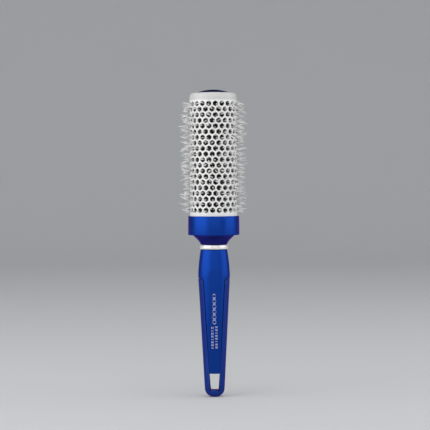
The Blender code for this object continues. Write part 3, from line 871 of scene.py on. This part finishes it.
def choose_clump(long_one):
    """How one clump of filaments leaves its vent: seat, place at the wall, curl, crimp and reach."""
    seat_turn = lay.uniform(0, 2 * math.pi)
    return {
        "seat": lay.uniform(0.2, 0.8) * MM,
        "seat_turn": seat_turn,
        "at_wall": lay.uniform(0.6, 1.6) * MM,
        "wall_turn": seat_turn + lay.gauss(0, 0.6),
        "curl_side": lay.gauss(0, 0.010),
        "curl_up": lay.gauss(-0.002, 0.019),
        "roll": lay.uniform(0, 2 * math.pi),
        "crimp": lay.uniform(0.5, 1.6),
        "reach": lay.uniform(29.0, 31.7) if long_one else lay.triangular(25.5, 29.5, 27.5),
    }


def lay_filament(row_mesh, first, hole_turn, level, clump, leader):
    """Bend a fresh copy of the filament, give it its length, and turn it out through its vent."""
    reach = clump["reach"] - (0 if leader else lay.uniform(0.6, 4.6))
    stretch = (reach * MM - filament_start) / (filament_end - filament_start)
    roll = clump["roll"] + lay.gauss(0, 0.25)
    crimp = clump["crimp"] * lay.uniform(0.85, 1.15)
    side_start = clump["seat"] * math.cos(clump["seat_turn"]) + lay.gauss(0, 0.12) * MM
    up_start = clump["seat"] * math.sin(clump["seat_turn"]) + lay.gauss(0, 0.12) * MM
    side_wall = clump["at_wall"] * math.cos(clump["wall_turn"]) + lay.uniform(-0.3, 0.3) * MM
    up_wall = clump["at_wall"] * math.sin(clump["wall_turn"]) + lay.uniform(-0.3, 0.3) * MM
    side_slope = (side_wall - side_start) / (barrel_radius - filament_start)
    up_slope = (up_wall - up_start) / (barrel_radius - filament_start)
    curl_side = clump["curl_side"] + lay.gauss(0, 0.003)
    curl_up = clump["curl_up"] + lay.gauss(0, 0.003)
    for vert, place in zip(row_mesh.verts[first:], filament_places):
        out = filament_start + (place.x - filament_start) * stretch
        y = (place.y * math.cos(roll) - place.z * math.sin(roll)) * crimp
        z = (place.y * math.sin(roll) + place.z * math.cos(roll)) * crimp
        past = max(0.0, out - barrel_radius) / MM
        side = y + side_start + side_slope * (out - filament_start) + curl_side * past ** 2 * MM
        up = z + up_start + up_slope * (out - filament_start) + curl_up * past ** 2 * MM
        out = min(out, filament_end - (side ** 2 + up ** 2) / (2 * filament_end))
        vert.co = (out * math.cos(hole_turn) - side * math.sin(hole_turn),
                   out * math.sin(hole_turn) + side * math.cos(hole_turn), level + up)


nylon = bpy.data.materials.new("Crimped clear nylon")
nylon.use_nodes = True
nylon_shader = nylon.node_tree.nodes["Principled BSDF"]
nylon_shader.inputs["Specular IOR Level"].default_value = 0.7
nylon_shade = nylon.node_tree.nodes.new("ShaderNodeMix")
nylon_shade.data_type = "RGBA"
nylon_shade.inputs["A"].default_value = (0.74, 0.73, 0.71, 1)
nylon_shade.inputs["B"].default_value = (0.97, 0.97, 0.96, 1)
# The tone deepens towards the roots: painted shade for the dark inside the barrel.
nylon_place = nylon.node_tree.nodes.new("ShaderNodeTexCoord")
nylon_axes = nylon.node_tree.nodes.new("ShaderNodeSeparateXYZ")
nylon_flat = nylon.node_tree.nodes.new("ShaderNodeCombineXYZ")
nylon_reach = nylon.node_tree.nodes.new("ShaderNodeVectorMath")
nylon_reach.operation = "LENGTH"
nylon_painted_shade_mask = nylon.node_tree.nodes.new("ShaderNodeMapRange")
nylon_painted_shade_mask.interpolation_type = "SMOOTHSTEP"
nylon_painted_shade_mask.inputs["From Min"].default_value = painted_root_shade_end
nylon_painted_shade_mask.inputs["From Max"].default_value = painted_root_shade_fade
nylon_painted_shade = nylon.node_tree.nodes.new("ShaderNodeMix")
nylon_painted_shade.data_type = "RGBA"
nylon_painted_shade.inputs["A"].default_value = (0.06, 0.055, 0.055, 1)
nylon.node_tree.links.new(nylon_place.outputs["Object"], nylon_axes.inputs["Vector"])
nylon.node_tree.links.new(nylon_axes.outputs["X"], nylon_flat.inputs["X"])
nylon.node_tree.links.new(nylon_axes.outputs["Y"], nylon_flat.inputs["Y"])
nylon.node_tree.links.new(nylon_flat.outputs["Vector"], nylon_reach.inputs[0])
nylon.node_tree.links.new(nylon_reach.outputs["Value"], nylon_painted_shade_mask.inputs["Value"])
nylon.node_tree.links.new(nylon_painted_shade_mask.outputs["Result"], nylon_painted_shade.inputs["Factor"])
nylon_marks = place_group(nylon.node_tree, handling_marks, Smudge_size=500.0, Scratch_share=0.1)
nylon_grain = place_group(nylon.node_tree, moulded_grain, Grain_size=2500.0)
nylon_relief = nylon.node_tree.nodes.new("ShaderNodeBump")
nylon_relief.inputs["Strength"].default_value = 0.1
nylon_relief.inputs["Distance"].default_value = 0.02 * MM
nylon.node_tree.links.new(coloured_range(nylon.node_tree, nylon_marks.outputs["Marks"], -0.6, 1.8),
                          nylon_shade.inputs["Factor"])
nylon.node_tree.links.new(nylon_shade.outputs["Result"], nylon_painted_shade.inputs["B"])
nylon.node_tree.links.new(nylon_painted_shade.outputs["Result"], nylon_shader.inputs["Base Color"])
nylon.node_tree.links.new(coloured_range(nylon.node_tree, nylon_marks.outputs["Marks"], 0.25, 0.45),
                          nylon_shader.inputs["Roughness"])
nylon.node_tree.links.new(nylon_grain.outputs["Height"], nylon_relief.inputs["Height"])
nylon.node_tree.links.new(nylon_relief.outputs["Normal"], nylon_shader.inputs["Normal"])
# The black of the rings is painted shade for the dark inside the barrel.
carrier_painted_shade = coated_finish("Carrier plastic black as painted shade", (0.010, 0.010, 0.011), (0.03, 0.03, 0.03), 0.6, 0.2)

for row in range(vent_rows):
    row_level = lowest_vents + row * row_pitch
    row_turn = -math.pi / 2 + pattern_turn + (row % 2) * math.pi / vents_around
    carrier = turned_piece("tuft_row_%02d" % (row + 1), [
        (carrier_bore, row_level - carrier_height / 2),
        (carrier_radius, row_level - carrier_height / 2),
        (carrier_radius, row_level + carrier_height / 2),
        (carrier_bore, row_level + carrier_height / 2),
        (carrier_bore, row_level - carrier_height / 2),
    ], around=44, closed=True)
    round_sharp_edges(carrier, 0.3 * MM)
    row_mesh = bmesh.new()
    row_mesh.from_mesh(carrier.data)
    for face in row_mesh.faces:
        face.material_index = 1
    for tuft in range(vents_around):
        hole_turn = row_turn + tuft * 2 * math.pi / vents_around
        for clump_number in range(clumps_in_tuft):
            clump = choose_clump(clump_number == 0 and lay.random() < long_clump_chance)
            for strand in range(strands_in_clump):
                first = len(row_mesh.verts)
                row_mesh.from_mesh(filament.data)
                row_mesh.verts.ensure_lookup_table()
                lay_filament(row_mesh, first, hole_turn, row_level, clump, strand == 0)
    row_mesh.to_mesh(carrier.data)
    row_mesh.free()
    carrier.data.materials.append(nylon)
    carrier.data.materials.append(carrier_painted_shade)
    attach(carrier, "root")
    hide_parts("bristle_row_%02d" % (row + 1))
bpy.data.objects.remove(filament)


# ---------------------------------------------------------------------------
# Core wires, ferrule and screw
# Two steel wires twisted together carry the bristle rings. A crimped brass bush holds
# them in the collar, and a steel screw pulls the collar down on the handle.
# ---------------------------------------------------------------------------
def metal_finish(name, colour, dark, roughness, lay_scale):
    """Bare metal with the long fine lines that drawing or turning leaves."""
    material = bpy.data.materials.new(name)
    material.use_nodes = True
    tree = material.node_tree
    shader = tree.nodes["Principled BSDF"]
    shader.inputs["Metallic"].default_value = 1.0
    place = tree.nodes.new("ShaderNodeTexCoord")
    stretch = tree.nodes.new("ShaderNodeMapping")
    stretch.inputs["Scale"].default_value = lay_scale
    lines = tree.nodes.new("ShaderNodeTexNoise")
    lines.inputs["Scale"].default_value = 1.0
    lines.inputs["Detail"].default_value = 3.0
    marks = place_group(tree, handling_marks, Smudge_size=200.0)
    tint = tree.nodes.new("ShaderNodeMix")
    tint.data_type = "RGBA"
    tint.inputs["A"].default_value = (*colour, 1)
    tint.inputs["B"].default_value = (*dark, 1)
    relief = tree.nodes.new("ShaderNodeBump")
    relief.inputs["Strength"].default_value = 0.25
    relief.inputs["Distance"].default_value = 0.02 * MM
    tree.links.new(place.outputs["Object"], stretch.inputs["Vector"])
    tree.links.new(stretch.outputs["Vector"], lines.inputs["Vector"])
    tree.links.new(coloured_range(tree, marks.outputs["Marks"], 0.0, 0.8), tint.inputs["Factor"])
    tree.links.new(tint.outputs["Result"], shader.inputs["Base Color"])
    tree.links.new(coloured_range(tree, lines.outputs["Fac"], roughness * 0.7, roughness * 1.4),
                   shader.inputs["Roughness"])
    tree.links.new(lines.outputs["Fac"], relief.inputs["Height"])
    tree.links.new(relief.outputs["Normal"], shader.inputs["Normal"])
    return material


hidden_metals = {
    "joint_screw": metal_finish("Zinc-plated screw", (0.55, 0.54, 0.52), (0.30, 0.29, 0.26), 0.35,
                                (900, 900, 300)),
    "core_ferrule": metal_finish("Crimped brass", (0.60, 0.45, 0.20), (0.30, 0.20, 0.08), 0.32,
                                 (300, 300, 2500)),
    "core_wire_a": metal_finish("Drawn steel wire", (0.60, 0.60, 0.60), (0.34, 0.33, 0.31), 0.30,
                                (900, 900, 200)),
}
hidden_metals["core_wire_b"] = hidden_metals["core_wire_a"]
for node_name, metal in hidden_metals.items():
    for material_slot in bpy.data.objects[node_name].material_slots:
        material_slot.material = metal

# ---------------------------------------------------------------------------
# Floor, light and camera
# A plain pale floor that sweeps up into a wall, four softboxes round the brush, and a
# camera in front of it, a little above its middle.
# ---------------------------------------------------------------------------
floor_level = cad_box[0].z
floor_radius = 2.4
sweep_radius = 1.6
wall_top = 2.6
floor_profile = [(0.6, floor_level)]
for step in range(17):
    angle = math.pi / 2 * step / 16
    floor_profile.append((floor_radius + sweep_radius * math.sin(angle),
                          floor_level + sweep_radius * (1 - math.cos(angle))))
floor_profile.append((floor_radius + sweep_radius, wall_top))
studio_floor = turned_piece("studio_floor", floor_profile, around=96, start_pole=True)
bare_edit(studio_floor)
bpy.ops.mesh.select_all(action="SELECT")
bpy.ops.mesh.flip_normals()
close_edit()
bpy.ops.object.shade_smooth()
floor_paint = bpy.data.materials.new("Pale floor")
floor_paint.use_nodes = True
floor_shader = floor_paint.node_tree.nodes["Principled BSDF"]
floor_shader.inputs["Base Color"].default_value = (0.62, 0.63, 0.64, 1)
floor_shader.inputs["Roughness"].default_value = 0.9
studio_floor.data.materials.append(floor_paint)

studio_air = bpy.data.worlds.new("studio_air")
studio_air.use_nodes = True
air_shader = studio_air.node_tree.nodes["Background"]
air_shader.inputs["Color"].default_value = (0.62, 0.63, 0.64, 1)
air_shader.inputs["Strength"].default_value = 0.8
bpy.context.scene.world = studio_air
bpy.context.scene.view_settings.view_transform = "Standard"


def softbox(name, azimuth, height, distance, size, power):
    """A square softbox that looks at the middle of the brush. Azimuth 0 is in front, 90 on the right."""
    lamp = bpy.data.lights.new(name, "AREA")
    lamp.shape = "RECTANGLE"
    lamp.size, lamp.size_y = size
    lamp.energy = power
    box = bpy.data.objects.new(name, lamp)
    bpy.context.scene.collection.objects.link(box)
    turn = math.radians(azimuth)
    box.location = (distance * math.sin(turn), -distance * math.cos(turn), height)
    middle = (cad_box[0] + cad_box[1]) / 2
    box.rotation_euler = (middle - box.location).to_track_quat("-Z", "Y").to_euler()
    box.visible_camera = False


softbox("key_softbox", -62, 0.60, 1.5, (2.1, 1.8), 20)
softbox("fill_softbox", 80, 0.55, 1.5, (1.7, 1.8), 12)
softbox("front_softbox", 8, 0.90, 2.6, (3.0, 1.8), 14)
softbox("top_softbox", 10, 1.9, 0.6, (1.2, 1.2), 5)

camera_data = bpy.data.cameras.new("camera")
camera_data.lens = 137.5
camera_data.sensor_width = 36.0
camera = bpy.data.objects.new("camera", camera_data)
bpy.context.scene.collection.objects.link(camera)
camera_distance = 1500 * MM
camera_height = 200 * MM
aim_height = 166.2 * MM
camera_roll = math.radians(0.35)
camera.location = (1.4 * MM, -camera_distance, camera_height)
pitch = math.atan2(camera_height - aim_height, camera_distance)
camera.rotation_euler = (math.pi / 2 - pitch, camera_roll, 0)
bpy.context.scene.camera = camera
